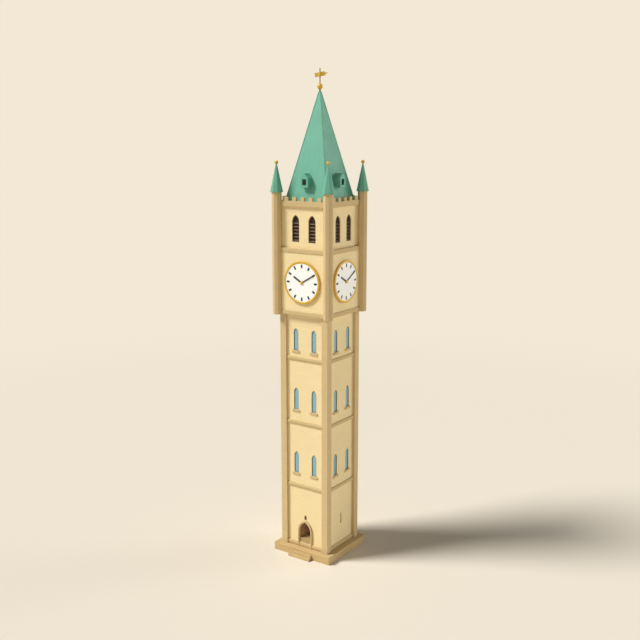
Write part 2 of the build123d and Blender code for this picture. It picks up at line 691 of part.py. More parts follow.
# ---------------------------------------------------------------- turrets and pinnacles
eaves_top = TURRET_TOP + PINNACLE_EAVES
pinnacle_top = TURRET_TOP + PINNACLE_HEIGHT
eaves = octagon(-TURRET_OFFSET, -TURRET_OFFSET, PINNACLE_RADIUS, TURRET_TOP, eaves_top)
over_turret = Pos(-TURRET_OFFSET, -TURRET_OFFSET)
cone = loft([
    Plane.XY.offset(eaves_top) * over_turret * RegularPolygon(PINNACLE_RADIUS, 8),
    Plane.XY.offset(pinnacle_top) * over_turret * RegularPolygon(PINNACLE_TIP_RADIUS, 8),
])
ball = Pos(-TURRET_OFFSET, -TURRET_OFFSET, pinnacle_top) * Sphere(PINNACLE_BALL_RADIUS)
write_part("corner_turrets", *turrets)
write_part("pinnacles", *on_all_sides((eaves + cone) - ball))
write_part("pinnacle_balls", *on_all_sides(ball))

# ---------------------------------------------------------------- spire and dormers
def pyramid(bottom_half, bottom, top_half, top):
    """A four-sided pyramid cut off at its top."""
    low = Plane.XY.offset(bottom) * Rectangle(2 * bottom_half, 2 * bottom_half)
    high = Plane.XY.offset(top) * Rectangle(2 * top_half, 2 * top_half)
    return loft([low, high])


spire_outside = pyramid(SPIRE_HALF, DECK_TOP, SPIRE_TIP_HALF, SPIRE_TOP)
inside_half = SPIRE_HALF - SPIRE_SHELL
inside_top = DECK_TOP + (inside_half - SPIRE_INSIDE_TIP) / SPIRE_SLOPE
spire_inside = pyramid(inside_half, DECK_TOP, SPIRE_INSIDE_TIP, inside_top)


def dormer_shape(margin=0.0):
    """The gabled front of a dormer; margin shrinks it all round."""
    half = DORMER_HALF_WIDTH - margin
    return make_face(Polyline(
        (-half, DORMER_BOTTOM + margin),
        (half, DORMER_BOTTOM + margin),
        (half, DORMER_EAVES),
        (0, DORMER_APEX - margin),
        (-half, DORMER_EAVES),
        close=True,
    ))


dormer_back = -DORMER_FRONT + DORMER_DEPTH
dormer_body = on_front(dormer_shape(), dormer_back, DORMER_DEPTH)
dormer_room = on_front(dormer_shape(DORMER_SHELL), dormer_back, DORMER_DEPTH - DORMER_SHELL)
dormer_opening = on_front(
    rectangle(
        -DORMER_OPENING_HALF_WIDTH,
        DORMER_OPENING_HALF_WIDTH,
        DORMER_OPENING_BOTTOM,
        DORMER_OPENING_TOP,
    ),
    dormer_back,
    DORMER_DEPTH,
)
dormer = dormer_body - dormer_room - dormer_opening - spire_outside
spire_shell = spire_outside - spire_inside
for cut in on_all_sides(dormer_room):
    spire_shell = spire_shell - cut
write_part("spire", spire_shell)
write_part("dormers", *on_all_sides(dormer))

slats = []
slat_step = (DORMER_OPENING_TOP - DORMER_OPENING_BOTTOM) / DORMER_SLATS
slat = Box(2 * DORMER_OPENING_HALF_WIDTH, DORMER_SLAT_WIDTH, DORMER_SLAT_THICKNESS)
for index in range(DORMER_SLATS):
    height = DORMER_OPENING_BOTTOM + slat_step * (index + 0.5)
    slat_place = Pos(0, -DORMER_FRONT + DORMER_SHELL / 2, height)
    slats += on_all_sides(slat_place * Rot(SLAT_ANGLE, 0, 0) * slat)
write_part("dormer_louvres", *slats)

# ---------------------------------------------------------------- finial and vane
ball_solid = Pos(0, 0, BALL_HEIGHT) * Sphere(BALL_RADIUS)
post = Pos(0, 0, (SPIRE_TOP + BALL_HEIGHT) / 2) * Cylinder(POST_RADIUS, BALL_HEIGHT - SPIRE_TOP)
write_part("finial_post", post - ball_solid)
write_part("finial_ball", ball_solid)
mast = Pos(0, 0, (BALL_HEIGHT + MAST_TOP) / 2) * Cylinder(MAST_RADIUS, MAST_TOP - BALL_HEIGHT)

# the vane turns freely on the mast, over a collar
collar_top = VANE_HEIGHT - VANE_HUB_HEIGHT / 2 - VANE_GAP
collar = Pos(0, 0, collar_top - COLLAR_HEIGHT / 2) * Cylinder(VANE_HUB_RADIUS, COLLAR_HEIGHT)
write_part("vane_mast", (mast - ball_solid) + collar)
hub = Pos(0, 0, VANE_HEIGHT) * Cylinder(VANE_HUB_RADIUS, VANE_HUB_HEIGHT)
tip_start = VANE_LENGTH / 2
tip_shape = make_face(Polyline(
    (tip_start, -VANE_TIP_WIDTH / 2),
    (tip_start + VANE_TIP_LENGTH, 0),
    (tip_start, VANE_TIP_WIDTH / 2),
    close=True,
))
blade_shape = Rectangle(VANE_LENGTH, VANE_WIDTH) + tip_shape
tilted_shape = Pos(0, VANE_HEIGHT) * Rot(0, 0, VANE_TILT) * blade_shape
blade = on_front(tilted_shape, VANE_THICKNESS / 2, VANE_THICKNESS)
vane_hole = Pos(0, 0, VANE_HEIGHT) * Cylinder(MAST_RADIUS + VANE_CLEARANCE, VANE_HUB_HEIGHT)
vane = hub + blade - vane_hole
write_part("weathervane", Rot(0, 0, VANE_TURN) * vane)
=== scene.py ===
"""Stone clock tower: stone, copper, oak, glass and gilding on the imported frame, with its stage."""
import json
from math import radians

import bmesh
import bpy
import numpy as np
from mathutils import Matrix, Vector


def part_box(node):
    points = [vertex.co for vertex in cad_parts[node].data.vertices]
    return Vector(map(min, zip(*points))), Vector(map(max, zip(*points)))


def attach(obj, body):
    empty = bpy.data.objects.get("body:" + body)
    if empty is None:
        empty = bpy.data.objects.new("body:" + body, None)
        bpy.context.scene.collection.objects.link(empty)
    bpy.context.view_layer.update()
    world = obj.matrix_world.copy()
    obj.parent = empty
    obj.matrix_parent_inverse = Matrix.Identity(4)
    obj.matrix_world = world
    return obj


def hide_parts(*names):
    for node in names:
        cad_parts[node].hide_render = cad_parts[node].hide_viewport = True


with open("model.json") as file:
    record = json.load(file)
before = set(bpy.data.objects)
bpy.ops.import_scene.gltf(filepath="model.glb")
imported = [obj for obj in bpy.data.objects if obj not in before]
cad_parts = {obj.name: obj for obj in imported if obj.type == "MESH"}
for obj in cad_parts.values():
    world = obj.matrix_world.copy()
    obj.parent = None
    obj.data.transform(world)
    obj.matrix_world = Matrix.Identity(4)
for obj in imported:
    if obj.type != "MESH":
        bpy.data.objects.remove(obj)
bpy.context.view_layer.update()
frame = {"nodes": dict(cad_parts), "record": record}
NODES = frame["nodes"]
SIDES = ("front", "right", "back", "left")

# metres: points closer than these are one point, in frame pieces and in new surfaces
MERGE_DISTANCE = 0.0002
SEAM_DISTANCE = 0.00005
SAME_PLACE = 0.0005
# degrees: faces that count as one flat face, corners that are rounded, edges shaded sharp
FLAT_ANGLE = 0.5
CORNER_ANGLE = 35
SHARP_ANGLE = 30.0
BAND_SHARP = 40.0
ROLL_SHARP = 50.0
# points on each arc, and steps round each turned surface
ARC_POINTS = 14
BAND_POINTS = 25
ROLL_POINTS = 21
DOME_POINTS = 13
RING_STEPS = 96
ARBOR_STEPS = 48
TUBE_STEPS = 12
BALL_STEPS = 32
# metres: bands reach this far into the wall and cornices into the turrets; the belfry wall's
# thickness; the height of a pane's pointed head
BAND_LAP = 0.001
INTO_TURRET = 0.2
BELFRY_WALL = 0.42
PANE_RISE = 0.34
# a course higher than the tower, and a board (width, joint) wider than its piece: no joints
UNBROKEN = 60.0
ONE_BOARD = (3.0, 0.001)
# metres: distance between the level laps of the copper sheets, and their width
SHEET_LAPS = (1.9, 0.02)
# half the floor's width, where it fades, the sky's tint, and each lamp's way and spread
GROUND_REACH = 400.0
GROUND_FADE = (45.0, 95.0)
SKY_TINT = (1.0, 0.985, 0.96, 1)
LAMPS = (
    ("key", (0.498, 0.445, -0.744), 19.0),
    ("fill", (-0.650, -0.746, -0.145), 30.0),
    ("front", (-0.520, 0.830, -0.200), 30.0),
)

bl_info = {
    "name": "Clock Tower",
    "version": (1, 0, 0),
    "blender": (4, 5, 0),
    "location": "View3D > Sidebar > Tower",
    "description": "Builds the visible pieces of a stone clock tower on its packed frame",
    "category": "Object",
}

# ---- properties


def colour(label, text, value):
    """A colour property, written as the linear values of its sRGB bytes."""
    parts = np.array(value) / 255.0
    linear = np.where(parts <= 0.04045, parts / 12.92, ((parts + 0.055) / 1.055) ** 2.4)
    return bpy.props.FloatVectorProperty(
        name=label, description=text, default=tuple(linear.tolist()), subtype="COLOR",
        size=3, min=0.0, max=1.0,
    )


def number(label, text, value, **kind):
    """A number property; kind gives its unit."""
    return bpy.props.FloatProperty(name=label, description=text, default=value, min=0.0, **kind)


def length(label, text, value):
    """A length property in metres."""
    return number(label, text, value, subtype="DISTANCE", unit="LENGTH")


def angle(label, text, degrees):
    """An angle property, given in degrees."""
    return number(label, text, radians(degrees), subtype="ANGLE", unit="ROTATION")


class TowerSizes(bpy.types.PropertyGroup):
    """Sizes of the details that are added to the frame."""

    arris: length("Arris", "Rounding of the walls' corners", 0.018)
    dressed_arris: length("Dressed arris", "Rounding of piers, plinth and copings", 0.035)
    fine_arris: length("Fine arris", "Rounding of small metal and timber pieces", 0.006)
    course_height: length("Course height", "Height of one course of stone", 0.36)
    block_length: length("Block length", "Length of one stone in a course", 0.84)
    joint_width: length("Joint width", "Width of a mortar joint", 0.012)
    band_sharpness: number("Band sharpness", "2 is a round band, more is squarer", 2.6)
    surround_sharpness: number("Door roll sharpness", "2 is a round roll, more is squarer", 2.3)
    ring_sharpness: number("Dial ring sharpness", "2 is a round ring, more is squarer", 5.0)
    ring_lip: length("Dial ring lip", "How far a ring covers the edge of its dial", 0.030)
    arbor_ease: length("Arbor ease", "How much thinner an arbor is than its frame piece", 0.001)
    came_width: length("Window frame width", "Width of the metal frame round a pane", 0.035)
    came_depth: length("Window frame depth", "Depth of the metal frame round a pane", 0.030)
    plank_width: length("Plank width", "Width of one board of the door", 0.26)
    seam_pitch: length("Seam pitch", "Distance between the seams of the copper sheets", 0.50)
    roll_radius: length("Hip roll radius", "Radius of the copper roll on each hip", 0.030)


class TowerColours(bpy.types.PropertyGroup):
    """Colours of the finishes."""

    wall: colour("Wall stone", "Pale dressed stone of the walls", (242, 220, 168))
    trim: colour("Trim stone", "Tan stone of piers and turrets", (210, 184, 134))
    band: colour("Band stone", "Tan stone of bands, cornices and battlements", (206, 181, 130))
    base: colour("Base stone", "Darker tan stone of plinth and steps", (201, 173, 120))
    # Painted shade: the sill's tint is the base stone made darker for the shade of the doorway it
    # lies in.
    sill: colour("Sill stone", "Worn stone of the doorway's sill", (181, 154, 103))
    mortar: colour("Mortar", "Joints between the stones", (196, 170, 118))
    copper: colour("Copper", "Weathered green copper", (107, 176, 151))
    copper_dark: colour("Copper in the seams", "Darker green of seams and streaks", (84, 140, 114))
    gold: colour("Gilding", "Gilded rings, balls and vane", (210, 170, 62))
    dial: colour("Dial", "White enamel of the dials", (255, 255, 251))
    marks: colour("Marks and hands", "Dark enamel of bars and hands", (36, 36, 32))
    glass: colour("Glass", "Blue window glass", (134, 180, 194))
    came: colour("Window frames", "Dull metal round the panes", (96, 104, 100))
    oak: colour("Oak", "Dark stained boards of the door", (165, 121, 92))
    louvre: colour("Louvres", "Stained slats of the belfry", (108, 85, 64))
    # Painted shade: the louvre backs' near-black stands for the shade inside the belfry behind the
    # slats.
    shade: colour("Louvre backs", "Dark boards behind the slats", (54, 36, 24))
    slit: colour("Slit board", "Brown board in the slit over the door", (86, 52, 32))
    iron: colour("Iron", "Black iron of the hinges", (92, 90, 82))
    bronze: colour("Bronze", "Olive bronze of the vane's mast and post", (152, 134, 84))
    boards: colour("Floor boards", "Plain boards of the floors", (140, 108, 76))
    floor: colour("Ground", "Pale floor under the tower", (236, 226, 208))
    backdrop: colour("Backdrop", "Pale colour behind the tower", (242, 232, 213))


class TowerStage(bpy.types.PropertyGroup):
    """Camera and lamps."""

    azimuth: angle("Azimuth", "Angle of the camera round the tower", 34.54)
    pitch: angle("Pitch", "How far the camera looks down", 11.52)
    distance: length("Distance", "From the camera to the point it looks at", 73.35)
    aim_height: length("Aim height", "Height of the point that the camera looks at", 19.55)
    lens: number("Lens", "Focal length in millimetres", 51.0)
    key: number("Key lamp", "Light of the key lamp on a surface facing it", 1.10)
    fill: number("Fill lamp", "Light of the fill lamp on a surface facing it", 0.42)
    front: number("Front lamp", "Light of the weak lamp beside the camera", 0.07)
    sky: number("Sky", "Even light from all round", 0.12)


# ---- frame readings


def corners_of(mesh):
    """The corners of a mesh as an array of rows x, y, z; a name stands for a frame piece."""
    if isinstance(mesh, str):
        mesh = NODES[mesh].data
    flat = np.empty(len(mesh.vertices) * 3, np.float32)
    mesh.vertices.foreach_get("co", flat)
    return flat.reshape(-1, 3).astype(float)


def joined_shape(node):
    """A bmesh of a frame piece with its loose triangles joined."""
    shape = bmesh.new()
    shape.from_mesh(NODES[node].data)
    bmesh.ops.remove_doubles(shape, verts=shape.verts, dist=MERGE_DISTANCE)
    return shape


def mesh_from(shape, name):
    """A new mesh from a bmesh, which is freed."""
    mesh = bpy.data.meshes.new(name)
    shape.to_mesh(mesh)
    shape.free()
    return mesh


def solids(node):
    """Each solid of a node as (lowest corner, highest corner), in a steady order.

    Every vertex starts with its own label, and each pass gives both ends of all edges the
    lower of their labels, until nothing changes.
    """
    mesh = mesh_from(joined_shape(node), "reading")
    points = corners_of(mesh)
    edges = np.empty(len(mesh.edges) * 2, np.int32)
    mesh.edges.foreach_get("vertices", edges)
    edges = edges.reshape(-1, 2)
    bpy.data.meshes.remove(mesh)
    label = np.arange(len(points))
    while True:
        low = np.minimum(label[edges[:, 0]], label[edges[:, 1]])
        updated = label.copy()
        np.minimum.at(updated, edges[:, 0], low)
        np.minimum.at(updated, edges[:, 1], low)
        if (updated == label).all():
            break
        label = updated
    groups = [points[label == value] for value in np.unique(label)]
    boxes = [(group.min(0), group.max(0)) for group in groups]
    return sorted(boxes, key=lambda box: tuple(np.round(np.concatenate(box), 3)))


# ---- surfaces


def grid(points, close_u=False, close_v=False):
    """Vertices and quads of a surface given as points[u, v]; either way may close on itself."""
    rows, columns = points.shape[:2]
    u = np.arange(rows if close_u else rows - 1)
    v = np.arange(columns if close_v else columns - 1)
    u, v = np.meshgrid(u, v, indexing="ij")
    next_u = (u + 1) % rows
    next_v = (v + 1) % columns
    quads = np.stack(
        [u * columns + v, next_u * columns + v, next_u * columns + next_v, u * columns + next_v],
        axis=-1,
    )
    return points.reshape(-1, 3), quads.reshape(-1, 4)


def joined(parts):
    """Several (vertices, faces) pairs as one."""
    vertices, faces, start = [], [], 0
    for points, polygons in parts:
        vertices.append(points)
        faces += [[int(i) + start for i in polygon] for polygon in polygons]
        start += len(points)
    return np.concatenate(vertices), faces


def capped(sections):
    """A closed outline carried through sections[section, place], with a face on each end."""
    points, quads = grid(sections, close_v=True)
    first = list(range(sections.shape[1]))
    last = list(range(len(points) - 1, len(points) - 1 - sections.shape[1], -1))
    return points, quads.tolist() + [first, last]


def prism(outline, low, high):
    """A straight bar: a closed outline of rows (across, up) carried from low to high.

    The outline runs in the plane of the second and third coordinate.
    """
    ends = np.empty((2, len(outline), 3))
    ends[:, :, 1:] = outline
    ends[0, :, 0] = low
    ends[1, :, 0] = high
    return capped(ends)


def on_all_sides(part):
    """A front (vertices, faces) pair, and its copies by quarter turns about the middle."""
    points, faces = part
    x, y, z = points[:, 0], points[:, 1], points[:, 2]
    copies = []
    for _ in SIDES:
        copies.append((np.column_stack([x, y, z]), faces))
        x, y = -y, x
    return copies


def revolved(profile, steps):
    """A profile of rows (radius, along) turned about the third axis in even steps."""
    turn = np.linspace(0, 2 * np.pi, steps, endpoint=False)[:, None]
    radius, along = profile[None, :, 0], profile[None, :, 1]
    along = np.broadcast_to(along, (steps, len(profile)))
    return np.stack([radius * np.cos(turn), radius * np.sin(turn), along], axis=-1)


def out_of_front(points, out, up):
    """A turned surface laid with its axis pointing out of the front, at a distance and a height."""
    return np.stack([points[..., 0], -(out + points[..., 2]), up + points[..., 1]], axis=-1)


def squared_circle(start, end, count, sharpness):
    """Level and upright place on a squared circle, at even angles from start to end.

    They are the angle's cosine and sine, each to the power of 2 over the sharpness, with the
    sign kept: 2 gives a circle, and more gives a squarer outline.
    """
    turn = np.linspace(start, end, count)
    level, upright = np.cos(turn), np.sin(turn)
    power = 2 / sharpness
    return np.sign(level) * np.abs(level) ** power, np.sign(upright) * np.abs(upright) ** power


def arch_line(middle, half_width, bottom, apex, rise):
    """The outline of a pointed opening, as rows (across, up), from the bottom left upwards.

    Each side is a circular arc that starts upright at the springing, rise below the point.
    """
    spring = apex - rise
    radius = (half_width**2 + rise**2) / (2 * half_width)
    top = np.arctan2(rise, radius - half_width)
    sweep = np.linspace(0, top, ARC_POINTS)
    across = radius - half_width - radius * np.cos(sweep)
    up = spring + radius * np.sin(sweep)
    left = np.column_stack([across, up])
    right = left[-2::-1] * (-1, 1)
    line = np.concatenate([[(-half_width, bottom)], left, right, [(half_width, bottom)]])
    line[:, 0] += middle
    return line


def new_object(name, data):
    """An object at the origin, linked to the scene."""
    item = bpy.data.objects.new(name, data)
    bpy.context.scene.collection.objects.link(item)
    return item


def finish_piece(name, mesh, material, smooth=SHARP_ANGLE, body="tower"):
    """An object for a mesh, shaded and set on its body with its material."""
    piece = new_object(name, mesh)
    mesh.shade_smooth()
    mesh.set_sharp_from_angle(angle=radians(smooth))
    mesh.materials.append(material)
    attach(piece, body)
    return piece


def make_piece(name, parts, material, smooth=SHARP_ANGLE):
    """One object from (vertices, faces) pairs, on the tower's own body."""
    points, faces = joined(parts)
    mesh = bpy.data.meshes.new(name)
    mesh.from_pydata(points.tolist(), [], faces)
    mesh.validate()
    shape = bmesh.new()
    shape.from_mesh(mesh)
    bmesh.ops.remove_doubles(shape, verts=shape.verts, dist=SEAM_DISTANCE)
    bmesh.ops.recalc_face_normals(shape, faces=shape.faces)
    shape.to_mesh(mesh)
    shape.free()
    return finish_piece(name, mesh, material, smooth)


def remade(node, finish, parts, material, smooth=SHARP_ANGLE):
    """A frame piece made anew from (vertices, faces) pairs, in its place."""
    piece = make_piece(f"{node}_{finish}", parts, material, smooth)
    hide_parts(node)


def whole(node, finish, material, body="tower"):
    """A frame piece with its flat faces whole, in its place.

    The normals that came with its triangles are dropped, because they no longer fit.
    """
    shape = joined_shape(node)
    bmesh.ops.dissolve_limit(
        shape, angle_limit=radians(FLAT_ANGLE), verts=shape.verts, edges=shape.edges
    )
    mesh = mesh_from(shape, f"{node}_{finish}")
    carried = mesh.attributes.get("custom_normal")
    if carried:
        mesh.attributes.remove(carried)
    piece = finish_piece(f"{node}_{finish}", mesh, material, body=body)
    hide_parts(node)
    return piece


def soften(node, finish, material, width, segments=3, body="tower"):
    """A frame piece with rounded corners, in its place."""
    piece = whole(node, finish, material, body)
    bevel = piece.modifiers.new("arris", "BEVEL")
    bevel.width = width
    bevel.segments = segments
    bevel.limit_method = "ANGLE"
    bevel.angle_limit = radians(CORNER_ANGLE)
    bevel.use_clamp_overlap = True
    bevel.harden_normals = True


def dress(node, material):
    """Gives a frame piece its material and leaves its shape."""
    mesh = NODES[node].data
    mesh.materials.clear()
    mesh.materials.append(material)


# ---- shader groups


def new_group(name, inputs):
    """An empty shader group, the sockets of its inputs and those of its results.

    An input's value of one, three or four numbers makes it plain, a vector or a colour.
    """
    group = bpy.data.node_groups.new(name, "ShaderNodeTree")
    kinds = {(): "Float", (3,): "Vector", (4,): "Color"}
    for label, value in inputs.items():
        kind = f"NodeSocket{kinds[np.shape(value)]}"
        group.interface.new_socket(label, in_out="INPUT", socket_type=kind).default_value = value
    for label, kind in (("Colour", "Color"), ("Roughness", "Float"), ("Height", "Float")):
        group.interface.new_socket(label, in_out="OUTPUT", socket_type=f"NodeSocket{kind}")
    given = group.nodes.new("NodeGroupInput").outputs
    return group, given, group.nodes.new("NodeGroupOutput").inputs


def feed(tree, value, socket):
    """Sets a socket to a value, or links it to another socket."""
    if isinstance(value, bpy.types.NodeSocket):
        tree.links.new(value, socket)
    else:
        socket.default_value = value


def deliver(group, results, colour, roughness, height):
    """Links a group's three results and gives the group back."""
    for label, value in (("Colour", colour), ("Roughness", roughness), ("Height", height)):
        group.links.new(value, results[label])
    return group


def maths(tree, operation, first, second=None, third=None, clamp=False):
    """One math node; each argument is a number or a socket. Returns its output."""
    node = tree.nodes.new("ShaderNodeMath")
    node.operation = operation
    node.use_clamp = clamp
    for index, value in enumerate((first, second, third)):
        if value is not None:
            feed(tree, value, node.inputs[index])
    return node.outputs[0]


def swing(tree, value, amount):
    """A value from 0 to 1 made to swing evenly about 0, times an amount."""
    return maths(tree, "MULTIPLY", maths(tree, "SUBTRACT", value, 0.5), amount)


def vector_maths(tree, operation, vector, second=None, label=1):
    """One vector math node with its second socket at the given label. Returns the node."""
    node = tree.nodes.new("ShaderNodeVectorMath")
    node.operation = operation
    tree.links.new(vector, node.inputs[0])
    if second:
        tree.links.new(second, node.inputs[label])
    return node


def scaled(tree, colour, factor):
    """A colour times a number."""
    return vector_maths(tree, "SCALE", colour, factor, "Scale").outputs[0]


def noise(tree, vector, scale, detail=3.0, roughness=0.55):
    """A noise value from 0 to 1 at a scale per metre."""
    node = tree.nodes.new("ShaderNodeTexNoise")
    node.inputs["Detail"].default_value = detail
    node.inputs["Roughness"].default_value = roughness
    feed(tree, scale, node.inputs["Scale"])
    tree.links.new(vector, node.inputs["Vector"])
    return node.outputs[0]


def one_each(tree, dimensions, label, value):
    """A random value from 0 to 1 for each cell number."""
    node = tree.nodes.new("ShaderNodeTexWhiteNoise")
    node.noise_dimensions = dimensions
    tree.links.new(value, node.inputs[label])
    return node.outputs["Value"]


def blend_colours(tree, factor, first, second):
    """A mix of two colours."""
    node = tree.nodes.new("ShaderNodeMix")
    node.data_type = "RGBA"
    for index, socket in ((0, factor), (6, first), (7, second)):
        tree.links.new(socket, node.inputs[index])
    return node.outputs[2]


def place(tree):
    """Object coordinates as a vector and as x, y, z."""
    coordinates = tree.nodes.new("ShaderNodeTexCoord")
    split = tree.nodes.new("ShaderNodeSeparateXYZ")
    tree.links.new(coordinates.outputs["Object"], split.inputs[0])
    return coordinates.outputs["Object"], split.outputs


def along_wall(tree, xyz):
    """The level distance along a wall: x on a front or back face, y on a side face."""
    geometry = tree.nodes.new("ShaderNodeNewGeometry")
    facing = tree.nodes.new("ShaderNodeSeparateXYZ")
    tree.links.new(geometry.outputs["True Normal"], facing.inputs[0])
    side_on = maths(
        tree, "GREATER_THAN",
        maths(tree, "ABSOLUTE", facing.outputs[0]),
        maths(tree, "ABSOLUTE", facing.outputs[1]),
    )
    step = maths(tree, "SUBTRACT", xyz[1], xyz[0])
    return maths(tree, "MULTIPLY_ADD", side_on, step, xyz[0]), facing.outputs[2]


def line_mask(tree, position, pitch, width):
    """1 on evenly pitched lines and 0 between them, with soft edges; also the cell number."""
    cells = maths(tree, "DIVIDE", position, pitch)
    part = maths(tree, "FRACT", cells)
    edge = maths(tree, "MINIMUM", part, maths(tree, "SUBTRACT", 1.0, part))
    distance = maths(tree, "MULTIPLY", edge, pitch)
    ramp = maths(tree, "DIVIDE", distance, width)
    return maths(tree, "SUBTRACT", 1.0, ramp, clamp=True), maths(tree, "FLOOR", cells)


def stone_group():
    """Courses of stone: joints, one tone for each block, soft patches and a fine grain."""
    group, given, results = new_group("coursed_stone", {
        "Stone": (0.8, 0.7, 0.5, 1), "Mortar": (0.6, 0.5, 0.4, 1),
        "Course Height": 0.36, "Block Length": 0.84, "Joint Width": 0.012,
        "Joint Strength": 0.6, "Block Variation": 0.05, "Patchiness": 0.08,
    })
    vector, xyz = place(group)
    along, upward = along_wall(group, xyz)
    bed, course = line_mask(group, xyz[2], given["Course Height"], given["Joint Width"])
    half_bond = maths(group, "MULTIPLY", maths(group, "MODULO", course, 2.0), 0.5)
    shifted = maths(group, "MULTIPLY_ADD", half_bond, given["Block Length"], along)
    upright, column = line_mask(group, shifted, given["Block Length"], given["Joint Width"])
    level_face = maths(group, "GREATER_THAN", maths(group, "ABSOLUTE", upward), 0.7)
    joint = maths(group, "MAXIMUM", bed, upright)
    joint = maths(group, "MULTIPLY", joint, maths(group, "SUBTRACT", 1.0, level_face))
    block = group.nodes.new("ShaderNodeCombineXYZ")
    group.links.new(course, block.inputs[0])
    group.links.new(column, block.inputs[1])
    random = one_each(group, "3D", "Vector", block.outputs[0])
    patches = noise(group, vector, 0.45)
    grain = noise(group, vector, 26.0, detail=4.0, roughness=0.65)
    tone = swing(group, random, given["Block Variation"])
    soft = swing(group, patches, given["Patchiness"])
    fine = swing(group, grain, 0.06)
    shade = maths(group, "ADD", 1.0, maths(group, "ADD", tone, maths(group, "ADD", soft, fine)))
    joint_seen = maths(group, "MULTIPLY", joint, given["Joint Strength"])
    colour = blend_colours(group, joint_seen, scaled(group, given["Stone"], shade), given["Mortar"])
    rough = maths(group, "MULTIPLY_ADD", grain, 0.15, 0.78)
    height = maths(group, "SUBTRACT", maths(group, "MULTIPLY", grain, 0.15), joint)
    return deliver(group, results, colour, rough, height)


def patina_group():
    """Weathered copper: sheets with upright seams, rain streaks and cloudy patches."""
    group, given, results = new_group("copper_patina", {
        "Copper": (0.2, 0.5, 0.4, 1), "Dark": (0.1, 0.3, 0.2, 1), "Seam Pitch": 0.5,
        "Seam Width": 0.03, "Seam Strength": 0.3, "Streaks": 0.25,
    })
    vector, xyz = place(group)
    along, _ = along_wall(group, xyz)
    half_sheet = maths(group, "MULTIPLY_ADD", given["Seam Pitch"], 0.5, along)
    seam, _ = line_mask(group, half_sheet, given["Seam Pitch"], given["Seam Width"])
    lap, _ = line_mask(group, xyz[2], *SHEET_LAPS)
    stretch = group.nodes.new("ShaderNodeMapping")
    stretch.inputs["Scale"].default_value = (3.2, 3.2, 0.22)
    group.links.new(vector, stretch.inputs["Vector"])
    streaks = noise(group, stretch.outputs[0], 1.6, detail=4.0, roughness=0.6)
    clouds = noise(group, vector, 0.9, detail=4.0)
    stained = maths(group, "MULTIPLY", maths(group, "ADD", streaks, clouds), 0.5)
    stained = maths(group, "MULTIPLY", maths(group, "SUBTRACT", stained, 0.42), 3.2, clamp=True)
    dark = maths(group, "MULTIPLY", stained, given["Streaks"])
    lines = maths(group, "MAXIMUM", seam, maths(group, "MULTIPLY", lap, 0.7))
    drawn = maths(group, "MULTIPLY", lines, given["Seam Strength"])
    dark = maths(group, "MAXIMUM", dark, drawn)
    colour = blend_colours(group, dark, given["Copper"], given["Dark"])
    rough = maths(group, "MULTIPLY_ADD", clouds, 0.25, 0.48)
    height = maths(group, "MULTIPLY_ADD", clouds, 0.12, lines)
    return deliver(group, results, colour, rough, height)


def timber_group():
    """Boards: joints at an even pitch, a tone for each board and grain along its length."""
    group, given, results = new_group("timber_boards", {
        "Wood": (0.3, 0.2, 0.1, 1), "Across": 0.0, "Along Scale": (14.0, 14.0, 1.2),
        "Board Width": 0.26, "Joint Width": 0.01, "Joint Strength": 0.5, "Variation": 0.18,
    })
    vector, _ = place(group)
    joint, board = line_mask(group, given["Across"], given["Board Width"], given["Joint Width"])
    random = one_each(group, "1D", "W", board)
    stretched = vector_maths(group, "MULTIPLY", vector, given["Along Scale"])
    grain = noise(group, stretched.outputs[0], 1.0, detail=5.0, roughness=0.6)
    tone = maths(group, "ADD", maths(group, "SUBTRACT", random, 0.5), swing(group, grain, 2.2))
    shade = maths(group, "MULTIPLY_ADD", tone, given["Variation"], 1.0)
    drawn = maths(group, "MULTIPLY", joint, given["Joint Strength"])
    shade = maths(group, "SUBTRACT", shade, drawn)
    rough = maths(group, "MULTIPLY_ADD", grain, 0.2, 0.5)
    height = maths(group, "SUBTRACT", maths(group, "MULTIPLY", grain, 0.25), joint)
    return deliver(group, results, scaled(group, given["Wood"], shade), rough, height)


def wear_group():
    """Small unevenness of paint and metal: a mottled tone, roughness and a faint height."""
    group, given, results = new_group("surface_wear", {
        "Colour": (0.5, 0.5, 0.5, 1), "Scale": 8.0, "Variation": 0.08,
        "Roughness": 0.5, "Roughness Spread": 0.15,
    })
    vector, _ = place(group)
    mottle = noise(group, vector, given["Scale"], detail=4.0, roughness=0.6)
    offset = maths(group, "SUBTRACT", mottle, 0.5)
    shade = maths(group, "MULTIPLY_ADD", offset, given["Variation"], 1.0)
    rough = maths(group, "MULTIPLY_ADD", offset, given["Roughness Spread"], given["Roughness"])
    return deliver(group, results, scaled(group, given["Colour"], shade), rough, mottle)


GROUPS = {
    "coursed_stone": stone_group,
    "copper_patina": patina_group,
    "timber_boards": timber_group,
    "surface_wear": wear_group,
}

# ---- materials


def finish_material(name, group_name, values, bump, bump_distance, **plain):
    """A Principled material fed by one shader group; plain values go on its own sockets.

    The group is built the first time that it is asked for, and so is the material.
    """
    material_name = f"{name}_finish"
    found = bpy.data.materials.get(material_name)
    if found:
        return found
    material = bpy.data.materials.new(material_name)
    material.use_nodes = True
    tree = material.node_tree
    surface = tree.nodes["Principled BSDF"]
    effect = tree.nodes.new("ShaderNodeGroup")
    effect.node_tree = bpy.data.node_groups.get(group_name) or GROUPS[group_name]()
    for label, value in values.items():
        socket = effect.inputs[label]
        if callable(value):
            tree.links.new(value(tree), socket)
        else:
            socket.default_value = (*value, 1.0) if socket.type == "RGBA" else value
    tree.links.new(effect.outputs["Colour"], surface.inputs["Base Color"])
    tree.links.new(effect.outputs["Roughness"], surface.inputs["Roughness"])
    relief = tree.nodes.new("ShaderNodeBump")
    relief.inputs["Strength"].default_value = bump
    relief.inputs["Distance"].default_value = bump_distance
    tree.links.new(effect.outputs["Height"], relief.inputs["Height"])
    tree.links.new(relief.outputs[0], surface.inputs["Normal"])
    for label, value in plain.items():
        surface.inputs[label].default_value = value
    return material


